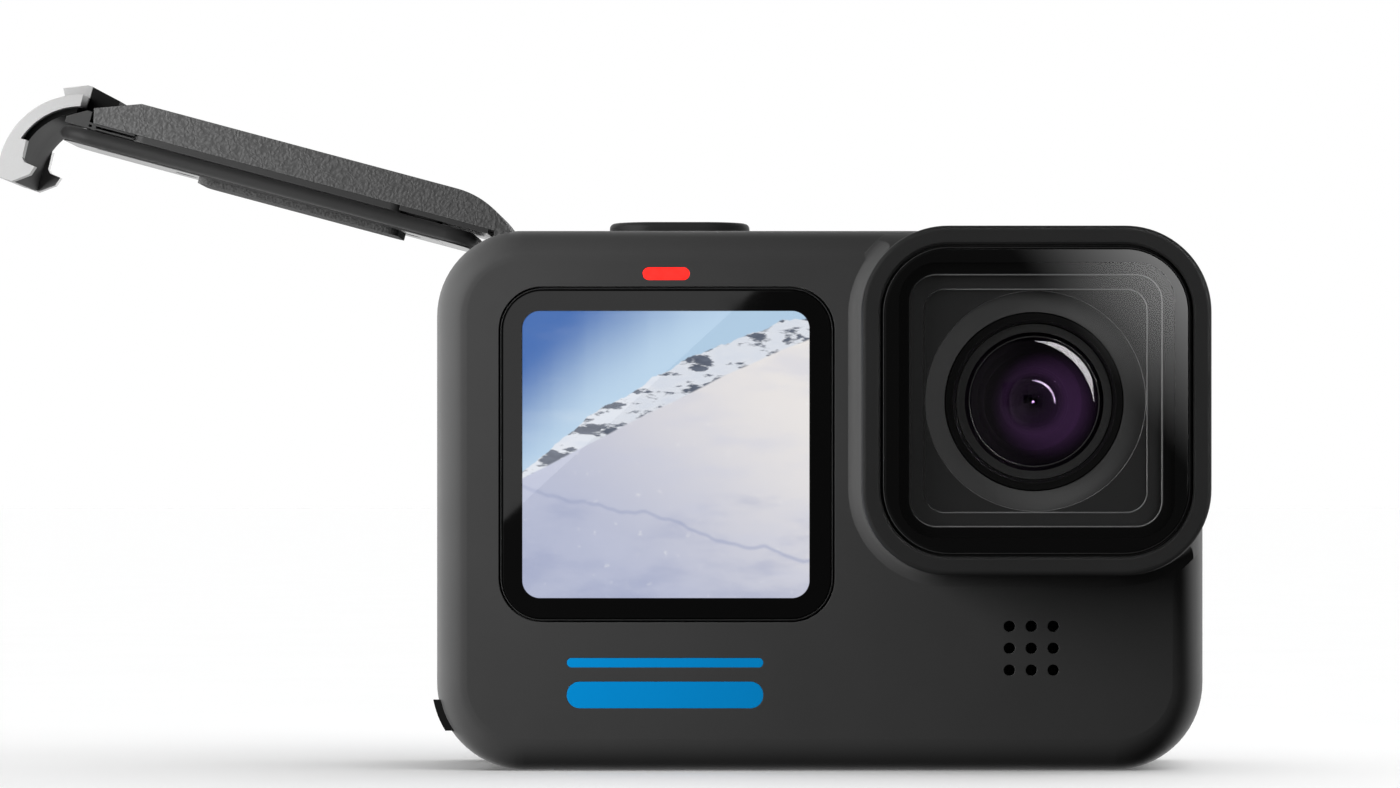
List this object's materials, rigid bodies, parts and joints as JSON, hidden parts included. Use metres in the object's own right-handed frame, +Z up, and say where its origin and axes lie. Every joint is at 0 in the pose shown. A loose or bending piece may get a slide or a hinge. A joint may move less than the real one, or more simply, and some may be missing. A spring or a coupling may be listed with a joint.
{
  "type": "action camera",
  "caption": "Rugged action camera with front and rear displays, a twist-off lens cover, a latched side door over the battery and card, and folding mounting fingers.",
  "frame": {"origin": "centre of the flat base, on the surface that the camera stands on", "axes": "+X to the right seen from the front, the lens looks along -Y, +Z up"},
  "size_m": [0.1132, 0.0336, 0.0644],
  "materials": {
    "body_rubber": "soft-touch dark grey coating with a very fine grain",
    "door_textured": "dark grey with a leathery grain",
    "button_dark": "satin dark grey",
    "dark_plastic": "black, slightly glossy",
    "inner_plastic": "black, smooth moulded",
    "finger_plastic": "dark grey, fine grain",
    "cover_frame": "satin black",
    "cover_glass": "clear, coated",
    "display_glass": "clear with a black border",
    "front_display": "display showing a plain mountain picture",
    "rear_display": "display, off",
    "lens_black": "anti-reflection black",
    "lens_grey": "dark grey ring",
    "lens_glass": "coated optical glass with a violet sheen",
    "filter_glass": "pale blue-green filter",
    "lens_holder_metal": "die cast, bead blasted",
    "latch_metal": "bead blasted",
    "heat_metal": "plain sheet",
    "bracket_metal": "dark plated steel",
    "screw_steel": "plated",
    "socket_steel": "stamped",
    "switch_metal": "stamped",
    "contact_brass": "gold plated",
    "circuit_board": "dark green solder mask",
    "chip": "black moulded",
    "membrane": "fine woven mesh",
    "seal_rubber": "smooth black",
    "pad_foam": "dense black foam",
    "battery_wrap": "dark grey case",
    "pull_tab": "blue tab",
    "card_plastic": "black",
    "accent_blue": "plain blue inlay",
    "status_red": "glowing red light guide"
  },
  "bodies": {
    "camera": {"main_housing": "body_rubber", "front_cover": "body_rubber", "front_cover_seal": "seal_rubber", "front_display_glass": "display_glass", "front_display_panel": "front_display", "rear_display_glass": "display_glass", "rear_display_panel": "rear_display", "lens_bezel": "lens_black", "lens_barrel": "lens_black", "lens_retaining_ring": "lens_grey", "lens_front_element": "lens_glass", "lens_spacer": "lens_black", "lens_second_element": "lens_glass", "lens_rear_element": "lens_glass", "lens_holder": "lens_holder_metal", "lens_screws": "screw_steel", "infrared_filter": "filter_glass", "image_sensor": "chip", "sensor_board": "circuit_board", "battery_cage": "inner_plastic", "battery_contacts": "contact_brass", "main_board": "circuit_board", "board_screws": "screw_steel", "board_chips": "chip", "heat_spreader": "heat_metal", "card_socket": "socket_steel", "usb_board": "circuit_board", "usb_connector": "socket_steel", "button_seals": "seal_rubber", "shutter_switch": "switch_metal", "mode_switch": "switch_metal", "microphone": "chip", "microphone_membrane": "membrane", "speaker": "inner_plastic", "status_lights": "status_red", "accent_bars": "accent_blue", "hinge_pin": "screw_steel", "latch_guard": "dark_plastic", "finger_pins": "screw_steel", "finger_bracket": "bracket_metal", "bracket_screws": "screw_steel"},
    "side_door": {"door_panel": "door_textured", "door_liner": "inner_plastic", "door_gasket": "seal_rubber", "door_pad": "pad_foam", "door_screws": "screw_steel", "latch_spring": "screw_steel"},
    "latch": {"door_latch": "latch_metal", "latch_slide": "dark_plastic"},
    "lens_cover": {"lens_cover_frame": "cover_frame", "lens_cover_glass": "cover_glass", "lens_cover_baffle": "lens_black", "lens_cover_seal": "seal_rubber"},
    "shutter": {"shutter_button": "button_dark"},
    "mode": {"mode_button": "button_dark"},
    "left_finger": {"finger_left": "finger_plastic"},
    "right_finger": {"finger_right": "finger_plastic"},
    "battery_pack": {"battery": "battery_wrap", "battery_pull_tab": "pull_tab"},
    "card": {"memory_card": "card_plastic"}
  },
  "joints": [
    {"name": "door_hinge", "type": "hinge", "parent": "camera", "child": "side_door", "pos_m": [-0.0303, 0, 0.0477], "axis": [0, 1, 0], "range_deg": [-105, 0]},
    {"name": "latch_travel", "type": "slide", "parent": "side_door", "child": "latch", "axis": [-0.9659, 0, 0.2588], "range_m": [0, 0.0012], "stiffness_N_per_m": 800},
    {"name": "lens_cover_twist", "type": "hinge", "parent": "camera", "child": "lens_cover", "pos_m": [0.0198, -0.0195, 0.03435], "axis": [0, 1, 0], "range_deg": [0, 30]},
    {"name": "shutter_press", "type": "slide", "parent": "camera", "child": "shutter", "axis": [0, 0, -1], "range_m": [0, 0.0004], "stiffness_N_per_m": 2500},
    {"name": "mode_press", "type": "slide", "parent": "camera", "child": "mode", "axis": [-1, 0, 0], "range_m": [0, 0.0004], "stiffness_N_per_m": 2500},
    {"name": "finger_left_fold", "type": "hinge", "parent": "camera", "child": "left_finger", "pos_m": [-0.00305, 0, 0.0017], "axis": [0, 1, 0], "range_deg": [-90, 0]},
    {"name": "finger_right_fold", "type": "hinge", "parent": "camera", "child": "right_finger", "pos_m": [0.00305, 0, 0.0017], "axis": [0, 1, 0], "range_deg": [0, 90]},
    {"name": "battery_slide", "type": "slide", "parent": "camera", "child": "battery_pack", "axis": [-1, 0, 0], "range_m": [0, 0.04]},
    {"name": "card_slide", "type": "slide", "parent": "camera", "child": "card", "axis": [-1, 0, 0], "range_m": [0, 0.015]}
  ]
}
